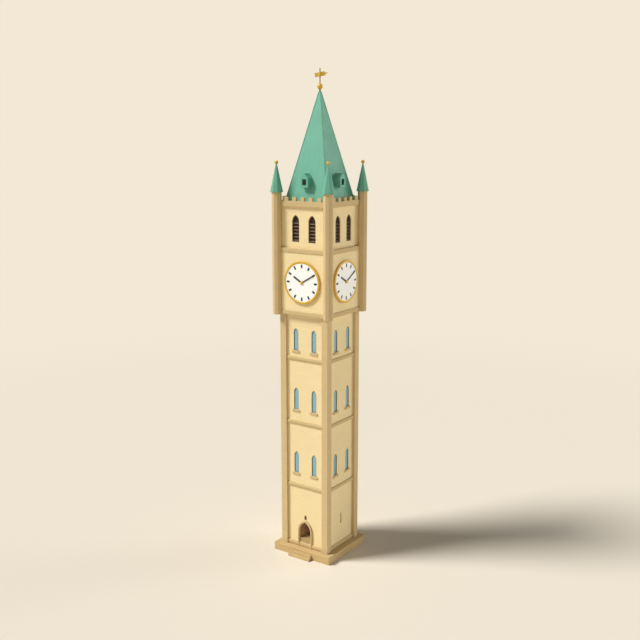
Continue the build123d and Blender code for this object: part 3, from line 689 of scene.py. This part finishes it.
def settings():
    """The scene's sizes and colours of the tower."""
    scene = bpy.context.scene
    return scene.tower_sizes, scene.tower_colours


def stone(name, tint, course, block, strength, patches, variation=0.04):
    """A stone finish: the tint, the size of its blocks and how much joints and tones show."""
    sizes, colours = settings()
    return finish_material(
        name, "coursed_stone",
        {
            "Stone": tint, "Mortar": colours.mortar, "Course Height": course,
            "Block Length": block * sizes.block_length, "Joint Width": sizes.joint_width,
            "Joint Strength": strength, "Block Variation": variation, "Patchiness": patches,
        },
        bump=0.35, bump_distance=0.006,
    )


def wall_stone():
    """Pale coursed stone of the walls, with a joint where the wall beside the door ends."""
    sizes, colours = settings()
    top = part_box("door_wall_right")[1].z
    course = top / round(top / sizes.course_height)
    return stone(
        "wall_stone", colours.wall, course, block=1.0, strength=0.2, patches=0.05, variation=0.03
    )


def trim_stone():
    """Tan dressed stone of piers and turrets."""
    sizes, colours = settings()
    course = 1.5 * sizes.course_height
    return stone("trim_stone", colours.trim, course, block=1.3, strength=0.4, patches=0.08)


def long_stone(name):
    """Stone in long pieces without level joints, in the tint of that name."""
    tint = getattr(settings()[1], name)
    return stone(f"{name}_stone", tint, UNBROKEN, block=1.6, strength=0.3, patches=0.08)


def copper_sheet():
    """Weathered copper of the spire, pinnacles and dormers."""
    sizes, colours = settings()
    return finish_material(
        "copper_sheet", "copper_patina",
        {
            "Copper": colours.copper, "Dark": colours.copper_dark,
            "Seam Pitch": sizes.seam_pitch, "Seam Width": 0.03,
            "Seam Strength": 0.22, "Streaks": 0.22,
        },
        bump=0.35, bump_distance=0.012,
    )


def worn(name, tint, scale, variation, rough, bump=0.15, **plain):
    """A painted, gilded or metal surface with small unevenness."""
    return finish_material(
        name, "surface_wear",
        {
            "Colour": tint, "Scale": scale, "Variation": variation,
            "Roughness": rough, "Roughness Spread": 0.2,
        },
        bump=bump, bump_distance=0.002, **plain,
    )


def gilding():
    """Gilding: a warm metal with soft unevenness."""
    tint = settings()[1].gold
    return worn("gilding", tint, scale=9.0, variation=0.12, rough=0.5, Metallic=0.15)


def across_x(tree):
    """The level place across a front piece."""
    return place(tree)[1][0]


def across_leaf(tree):
    """The level place across the door leaf, which stands turned about its hinge."""
    hinge = next(j for j in frame["record"]["behaviour"]["joints"] if j["name"] == "door_hinge")
    ajar = -radians(hinge["range_deg"][0])
    xyz = place(tree)[1]
    forward = maths(tree, "MULTIPLY", xyz[1], float(np.sin(ajar)))
    return maths(tree, "MULTIPLY_ADD", xyz[0], float(np.cos(ajar)), forward)


def boards(name, tint, pitch, joint, variation, along, across=across_x):
    """A timber finish: its tint, boards, tones, and how tightly the grain runs on each axis."""
    return finish_material(
        name, "timber_boards",
        {
            "Wood": tint, "Across": across, "Board Width": pitch, "Joint Width": joint,
            "Variation": variation, "Along Scale": along,
        },
        bump=0.35, bump_distance=0.003,
    )


# ---- operators


class TOWER_OT_walls(bpy.types.Operator):
    """Walls of pale coursed stone with rounded corners"""

    bl_idname = "tower.walls"
    bl_label = "Walls"

    def execute(self, context):
        sizes = context.scene.tower_sizes
        coursed = wall_stone()
        names = ["door_wall_left", "door_wall_right"]
        names += [f"{side}_wall" for side in SIDES]
        names += [f"{stage}_wall_{side}" for stage in ("clock", "belfry") for side in SIDES]
        for node in names:
            soften(node, "stone", coursed, sizes.arris)
        return {"FINISHED"}


class TOWER_OT_dressings(bpy.types.Operator):
    """Piers, plinth, steps, sill, turrets and parapet of tan dressed stone"""

    bl_idname = "tower.dressings"
    bl_label = "Dressed stone"

    def execute(self, context):
        sizes = context.scene.tower_sizes
        dressed = trim_stone()
        base = long_stone("base")
        pieces = (
            ("corner_piers", dressed, 1.0),
            ("corner_turrets", dressed, 1.0),
            ("plinth", base, 1.0),
            ("entrance_steps", base, 0.6),
            # Painted shade: the sill takes its darker tint for the shade of the doorway.
            ("door_sill", long_stone("sill"), 0.3),
            ("parapet", long_stone("band"), 0.6),
        )
        for node, finish, part in pieces:
            soften(node, "stone", finish, part * sizes.dressed_arris)
        dress("parapet_deck", dressed)
        # Painted light: the floor inside takes the paler wall stone, not the tan trim, so it reads
        # lighter where it shows through the doorway.
        dress("ground_floor", wall_stone())
        return {"FINISHED"}


class TOWER_OT_mouldings(bpy.types.Operator):
    """Rounded bands between the storeys and the cornices of the clock stage"""

    bl_idname = "tower.mouldings"
    bl_label = "Bands and cornices"

    @staticmethod
    def band_outline(inner, root, outer, bottom, top, sharpness):
        """The section of a band as rows (y, z) for the front wall.

        From root, the wall's face, it swells out to outer and back on half a squared circle;
        inside root it is a plain block.
        """
        swell, rise = squared_circle(-np.pi / 2, np.pi / 2, BAND_POINTS, sharpness)
        y = -(root + (outer - root) * swell)
        z = (bottom + top) / 2 + (top - bottom) / 2 * rise
        outline = np.column_stack([y, z])
        return np.concatenate([[(-inner, bottom)], outline, [(-inner, top)]])

    def execute(self, context):
        sizes = context.scene.tower_sizes
        finish = long_stone("band")
        low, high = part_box("front_wall")
        run, face = high.x, -low.y
        for node in ("string_courses", "base_course"):
            levels = np.unique(np.round(corners_of(node)[:, 2], 4))
            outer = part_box(node)[1].x
            parts = []
            for bottom, top in zip(levels[0::2], levels[1::2]):
                outline = self.band_outline(
                    face - BAND_LAP, face, outer, bottom, top, sizes.band_sharpness
                )
                parts += on_all_sides(prism(outline, -run, run))
            remade(node, "bands", parts, finish, BAND_SHARP)

        turret = max(box[0][0] for box in solids("corner_turrets"))
        pier, clock, belfry = (
            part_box(node)[1].x for node in ("corner_piers", "clock_wall_front", "belfry_wall_front")
        )
        rings = (
            ("clock_cornice", run, max(pier, clock)),
            ("clock_string_course", belfry - BELFRY_WALL, clock),
        )
        reach = turret + INTO_TURRET
        sharpness = sizes.band_sharpness + 1.0
        for node, inner, root in rings:
            low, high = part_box(node)
            outline = self.band_outline(inner, root, high.x, low.z, high.z, sharpness)
            parts = on_all_sides(prism(outline, -reach, reach))
            remade(node, "band", parts, finish, BAND_SHARP)
        return {"FINISHED"}


class TOWER_OT_windows(bpy.types.Operator):
    """Blue panes in thin metal frames, over stone sills"""

    bl_idname = "tower.windows"
    bl_label = "Windows"

    @staticmethod
    def frame_bars(box, width, depth):
        """The frame round one pane: a small square section carried round the arched outline.

        The outer edge is the pane's outline and the inner edge is the same outline drawn
        smaller by the frame's width; the front stands one depth before the pane.
        """
        low, high = box
        middle, half = (low[0] + high[0]) / 2, (high[0] - low[0]) / 2
        outer = arch_line(middle, half, low[2], high[2], PANE_RISE)
        inner = arch_line(
            middle, half - width, low[2] + width, high[2] - width, PANE_RISE - width
        )
        front, back = low[1] - depth, low[1]
        ring = np.empty((4, len(outer), 3))
        corners = ((outer, back), (outer, front), (inner, front), (inner, back))
        for index, (line, y) in enumerate(corners):
            ring[index, :, 0] = line[:, 0]
            ring[index, :, 1] = y
            ring[index, :, 2] = line[:, 1]
        return grid(ring, close_u=True, close_v=True)

    def execute(self, context):
        sizes, colours = settings()
        glass = worn(
            "window_glass_blue", colours.glass, scale=3.0, variation=0.16, rough=0.16, bump=0.1
        )
        dress("window_glass", glass)
        came = worn("window_came", colours.came, scale=20.0, variation=0.25, rough=0.5, bump=0.3)
        frames = []
        for box in solids("window_glass"):
            (left, _, _), (right, back, _) = box
            if back < -abs(left) and back < -abs(right):
                frames += on_all_sides(self.frame_bars(box, sizes.came_width, sizes.came_depth))
        make_piece("window_frames", frames, came)
        band = long_stone("band")
        soften("window_sills", "stone", band, 0.5 * sizes.dressed_arris)
        return {"FINISHED"}


class TOWER_OT_doorway(bpy.types.Operator):
    """The boarded door with its pintles, and the rounded stone roll round the doorway"""

    bl_idname = "tower.doorway"
    bl_label = "Door"

    @staticmethod
    def surround(sharpness, finish):
        """A roll carried round the pointed doorway.

        Across the roll the place runs from the opening's edge to the outer edge while it
        swells from the wall's face and back, on half a squared circle.
        """
        low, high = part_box("door_surround")
        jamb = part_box("door_wall_right")
        spring, half = jamb[1].z, jamb[0].x
        points = corners_of("door_surround")
        apex = points[np.abs(points[:, 0]) < SAME_PLACE][:, 2].min()
        inner = arch_line(0.0, half, low.z, apex, apex - spring)
        outer = arch_line(0.0, high.x, low.z, high.z, high.z - spring)
        level, swell = squared_circle(0, np.pi, ROLL_POINTS, sharpness)
        across = (1 - level) / 2
        roll = np.empty((len(inner), ROLL_POINTS, 3))
        line = inner[:, None, :] + across[None, :, None] * (outer - inner)[:, None, :]
        roll[:, :, 0] = line[:, :, 0]
        roll[:, :, 1] = high.y - (high.y - low.y) * swell[None, :]
        roll[:, :, 2] = line[:, :, 1]
        remade("door_surround", "roll", [capped(roll)], finish, ROLL_SHARP)

    def execute(self, context):
        sizes, colours = settings()
        grain = (14.0, 14.0, 1.2)
        oak = boards(
            "door_oak", colours.oak, sizes.plank_width,
            joint=0.014, variation=0.25, along=grain, across=across_leaf,
        )
        soften("door_leaf", "oak", oak, sizes.fine_arris, segments=2, body="door")
        iron = worn("iron_work", colours.iron, scale=30.0, variation=0.3, rough=0.6, bump=0.3)
        dress("door_pintles", iron)
        slit = boards("slit_oak", colours.slit, *ONE_BOARD, variation=0.2, along=grain)
        dress("slit_board", slit)
        self.surround(sizes.surround_sharpness, long_stone("band"))
        return {"FINISHED"}


class TOWER_OT_louvres(bpy.types.Operator):
    """Stained slats of the belfry, with near-black boards behind them as painted shade, and
    near-black dormer slats as painted shade
    """

    bl_idname = "tower.louvres"
    bl_label = "Louvres"

    def execute(self, context):
        sizes, colours = settings()
        grain = (1.4, 1.4, 16.0)
        slats = boards("belfry_slats", colours.louvre, *ONE_BOARD, variation=0.3, along=grain)
        width = 0.5 * sizes.fine_arris
        soften("belfry_louvres", "wood", slats, width, segments=2)
        # Painted shade: near-black boards behind the belfry slats stand for the shade inside the
        # belfry.
        backs = worn("louvre_backs_painted_shade", colours.shade, scale=6.0, variation=0.2, rough=0.8)
        dress("louvre_boards", backs)
        # Painted shade: the dormer slats take the near-black of the dial marks for the shade inside
        # the dormer openings.
        dormer_shade = worn("dormer_slat_painted_shade", colours.marks, scale=20.0, variation=0.3, rough=0.6)
        dress("dormer_louvres", dormer_shade)
        return {"FINISHED"}


class TOWER_OT_dials(bpy.types.Operator):
    """White dials in gilded rings, with their bars and hands"""

    bl_idname = "tower.dials"
    bl_label = "Dials"

    @staticmethod
    def arbor_profile(ease):
        """The front arbor with its domed boss as rows (radius, distance from the middle).

        The arbor is a straight shank, thinner than the frame's by the ease. The dome's radius
        is the boss's times the cosine of an angle to the power of one half, and its height is
        the boss's thickness times the sine of that angle.
        """
        points = corners_of("hand_arbors")
        points = points[-points[:, 1] > np.abs(points[:, 0])]
        levels = np.unique(np.round(-points[:, 1], 4))
        wall, back, front = levels[0], levels[-2], levels[-1]
        shank = np.abs(points[-points[:, 1] < wall + SAME_PLACE][:, 0]).max() - ease
        boss = np.abs(points[-points[:, 1] > front - SAME_PLACE][:, 0]).max()
        turn = np.linspace(0, np.pi / 2, DOME_POINTS)
        dome = np.column_stack([
            boss * np.sqrt(np.abs(np.cos(turn))), back + (front - back) * np.sin(turn)
        ])
        stem = [(0.0, wall), (shank, wall), (shank, back)]
        return np.concatenate([stem, dome[:-1], [(0.0, front)]])

    @staticmethod
    def ring_profile(outer, inner, height, sharpness):
        """The section of a ring as rows (radius, height): straight sides and a squared top."""
        half = (outer - inner) / 2
        level, upright = squared_circle(0, np.pi, ROLL_POINTS, sharpness)
        top = np.column_stack([(outer + inner) / 2 + half * level, height - half + half * upright])
        return np.concatenate([[(outer, 0.0)], top, [(inner, 0.0)]])

    def execute(self, context):
        sizes, colours = settings()
        white = worn(
            "dial_enamel", colours.dial, scale=2.0, variation=0.02, rough=0.35, bump=0.05
        )
        dress("dials", white)
        dark = worn("dial_marks", colours.marks, scale=25.0, variation=0.2, rough=0.4)
        gold = gilding()
        low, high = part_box("dial_rings")
        middle = (low.z + high.z) / 2
        outer = (high.z - low.z) / 2
        dial_low, dial_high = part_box("dials")
        inner = (dial_high.z - dial_low.z) / 2 - sizes.ring_lip
        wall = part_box("clock_wall_front")[1].x
        ring = self.ring_profile(outer, inner, high.x - wall, sizes.ring_sharpness)
        ring = out_of_front(revolved(ring, RING_STEPS), wall, middle)
        parts = on_all_sides(grid(ring, close_u=True, close_v=True))
        remade("dial_rings", "gilt", parts, gold)
        width = 0.2 * sizes.fine_arris
        soften("hour_bars", "enamel", dark, width, segments=2)
        arbor = revolved(self.arbor_profile(sizes.arbor_ease), ARBOR_STEPS)
        arbor = out_of_front(arbor, 0.0, middle)
        remade("hand_arbors", "gilt", on_all_sides(grid(arbor, close_u=True)), gold)
        width = 0.5 * sizes.fine_arris
        for side in SIDES:
            for kind in ("hour", "minute"):
                node, body = f"{kind}_hand_{side}", f"{kind}_{side}"
                soften(node, "enamel", dark, width, segments=2, body=body)
        return {"FINISHED"}


class TOWER_OT_roofs(bpy.types.Operator):
    """Copper spire, pinnacles and dormers, with rolls on the spire's hips"""

    bl_idname = "tower.roofs"
    bl_label = "Copper roofs"

    def execute(self, context):
        sizes = context.scene.tower_sizes
        copper = copper_sheet()
        dress("spire", copper)
        whole("pinnacles", "copper", copper)
        soften("dormers", "copper", copper, 2 * sizes.fine_arris)
        low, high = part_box("spire")
        points = corners_of("spire")
        top_half = points[points[:, 2] > high.z - SAME_PLACE][:, 0].max()
        ends = np.array([(-high.x, -high.x, low.z), (-top_half, -top_half, high.z)])
        turn = np.linspace(0, 2 * np.pi, TUBE_STEPS, endpoint=False)
        circle = sizes.roll_radius * np.column_stack([np.cos(turn), np.sin(turn), 0 * turn])
        rolls = on_all_sides(capped(ends[:, None, :] + circle[None, :, :]))
        make_piece("spire_hip_rolls", rolls, copper)
        return {"FINISHED"}


class TOWER_OT_finials(bpy.types.Operator):
    """Gilded balls and vane on their bronze post and mast"""

    bl_idname = "tower.finials"
    bl_label = "Finials and vane"

    @staticmethod
    def ball(box):
        """A sphere in a box: the radius times the cosine and sine of the height angle."""
        low, high = box
        centre, radius = (low + high) / 2, (high[0] - low[0]) / 2
        lift = np.linspace(-np.pi / 2, np.pi / 2, BALL_STEPS // 2 + 1)
        profile = np.column_stack([radius * np.cos(lift), radius * np.sin(lift)])
        return grid(revolved(profile, BALL_STEPS) + centre, close_u=True)

    def execute(self, context):
        sizes, colours = settings()
        gold = gilding()
        for node in ("pinnacle_balls", "finial_ball"):
            remade(node, "gilt", [self.ball(box) for box in solids(node)], gold)
        soften("weathervane", "gilt", gold, 4 * sizes.fine_arris, body="vane")
        bronze = worn("bronze_work", colours.bronze, scale=20.0, variation=0.2, rough=0.5)
        for node in ("vane_mast", "finial_post"):
            whole(node, "bronze", bronze)
        return {"FINISHED"}


class TOWER_OT_floors(bpy.types.Operator):
    """Boarded floors inside"""

    bl_idname = "tower.floors"
    bl_label = "Floors"

    def execute(self, context):
        colours = context.scene.tower_colours
        wood = boards(
            "floor_boards", colours.boards, pitch=0.18, joint=0.008, variation=0.2,
            along=(9.0, 0.8, 9.0),
        )
        for node in ("storey_floors", "clock_floor", "belfry_floor"):
            dress(node, wood)
        return {"FINISHED"}


class TOWER_OT_stage(bpy.types.Operator):
    """Pale floor, soft lamps, even sky and the camera"""

    bl_idname = "tower.stage"
    bl_label = "Stage"

    @staticmethod
    def sun(name, toward, irradiance, spread):
        """A lamp whose light travels toward a direction and spreads over an angle."""
        lamp = bpy.data.lights.new(name, "SUN")
        lamp.energy = irradiance * np.pi
        lamp.angle = radians(spread)
        holder = new_object(name, lamp)
        holder.rotation_mode = "QUATERNION"
        holder.rotation_quaternion = Vector(toward).to_track_quat("-Z", "Y")

    @staticmethod
    def mix(tree, factor, first, second, output):
        """Mixes two shaders by a factor and links them to the tree's output."""
        node = tree.nodes.new("ShaderNodeMixShader")
        for index, socket in enumerate((factor, first, second)):
            tree.links.new(socket, node.inputs[index])
        tree.links.new(node.outputs[0], tree.nodes[output].inputs["Surface"])

    def ground(self, colours):
        """The floor: a plane that turns into the backdrop's colour far from the tower."""
        mesh = bpy.data.meshes.new("ground")
        ways = ((-1, -1, 0), (1, -1, 0), (1, 1, 0), (-1, 1, 0))
        mesh.from_pydata([GROUND_REACH * Vector(way) for way in ways], [], [(0, 1, 2, 3)])
        plane = new_object("ground", mesh)
        material = bpy.data.materials.new("ground_finish")
        material.use_nodes = True
        tree = material.node_tree
        surface = tree.nodes["Principled BSDF"]
        surface.inputs["Base Color"].default_value = (*colours.floor, 1)
        surface.inputs["Roughness"].default_value = 0.9
        surface.inputs["Specular IOR Level"].default_value = 0.1
        glow = tree.nodes.new("ShaderNodeEmission")
        glow.inputs["Color"].default_value = (*colours.backdrop, 1)
        distance = vector_maths(tree, "LENGTH", place(tree)[0])
        fade = tree.nodes.new("ShaderNodeMapRange")
        fade.interpolation_type = "SMOOTHSTEP"
        fade.inputs["From Min"].default_value, fade.inputs["From Max"].default_value = GROUND_FADE
        tree.links.new(distance.outputs["Value"], fade.inputs["Value"])
        self.mix(tree, fade.outputs[0], surface.outputs[0], glow.outputs[0], "Material Output")
        mesh.materials.append(material)

    def sky(self, scene, colours, strength):
        """Even light all round; the camera and reflections see the backdrop's colour."""
        world = bpy.data.worlds.new("sky")
        scene.world = world
        world.use_nodes = True
        tree = world.node_tree
        light = tree.nodes["Background"]
        light.inputs["Color"].default_value = SKY_TINT
        light.inputs["Strength"].default_value = strength
        seen = tree.nodes.new("ShaderNodeBackground")
        seen.inputs["Color"].default_value = (*colours.backdrop, 1)
        path = tree.nodes.new("ShaderNodeLightPath")
        camera, glossy, through = (
            path.outputs[f"Is {kind} Ray"] for kind in ("Camera", "Glossy", "Transmission")
        )
        direct = maths(tree, "MAXIMUM", maths(tree, "MAXIMUM", camera, glossy), through)
        self.mix(tree, direct, light.outputs[0], seen.outputs[0], "World Output")

    def execute(self, context):
        scene = context.scene
        stage, colours = scene.tower_stage, scene.tower_colours
        scene.view_settings.view_transform = "Standard"
        self.ground(colours)
        self.sky(scene, colours, stage.sky)
        for label, toward, spread in LAMPS:
            self.sun(f"{label}_lamp", toward, getattr(stage, label), spread)
        camera = new_object("camera", bpy.data.cameras.new("camera"))
        camera.data.sensor_width = 36.0
        camera.data.lens = stage.lens
        camera.data.clip_end = 1000.0
        around, down = stage.azimuth, stage.pitch
        back = Vector((
            np.sin(around) * np.cos(down), -np.cos(around) * np.cos(down), np.sin(down)
        ))
        camera.location = Vector((0, 0, stage.aim_height)) + back * stage.distance
        camera.rotation_mode = "QUATERNION"
        camera.rotation_quaternion = (-back).to_track_quat("-Z", "Y")
        scene.camera = camera
        return {"FINISHED"}


class TOWER_PT_panel(bpy.types.Panel):
    """Sizes, colours and building steps of the tower"""

    bl_idname = "TOWER_PT_panel"
    bl_label = "Clock Tower"
    bl_space_type = "VIEW_3D"
    bl_region_type = "UI"
    bl_category = "Tower"

    def draw(self, context):
        for name, _ in SETTINGS:
            group = getattr(context.scene, name)
            box = self.layout.box()
            for label in group.__annotations__:
                box.prop(group, label)
        for operator in OPERATORS:
            self.layout.operator(operator.bl_idname)


OPERATORS = (
    TOWER_OT_walls,
    TOWER_OT_dressings,
    TOWER_OT_mouldings,
    TOWER_OT_windows,
    TOWER_OT_doorway,
    TOWER_OT_louvres,
    TOWER_OT_dials,
    TOWER_OT_roofs,
    TOWER_OT_finials,
    TOWER_OT_floors,
    TOWER_OT_stage,
)
SETTINGS = (
    ("tower_sizes", TowerSizes),
    ("tower_colours", TowerColours),
    ("tower_stage", TowerStage),
)


def register():
    """Registers the settings, the operators and the panel."""
    for label, group in SETTINGS:
        bpy.utils.register_class(group)
        setattr(bpy.types.Scene, label, bpy.props.PointerProperty(type=group))
    for item in (*OPERATORS, TOWER_PT_panel):
        bpy.utils.register_class(item)


def unregister():
    """Takes back what register did."""
    for item in (TOWER_PT_panel, *reversed(OPERATORS)):
        bpy.utils.unregister_class(item)
    for label, group in reversed(SETTINGS):
        delattr(bpy.types.Scene, label)
        bpy.utils.unregister_class(group)


def main():
    """Builds every piece in order."""
    register()
    for operator in OPERATORS:
        group, name = operator.bl_idname.split(".")
        getattr(getattr(bpy.ops, group), name)()


if __name__ == "__main__":
    main()
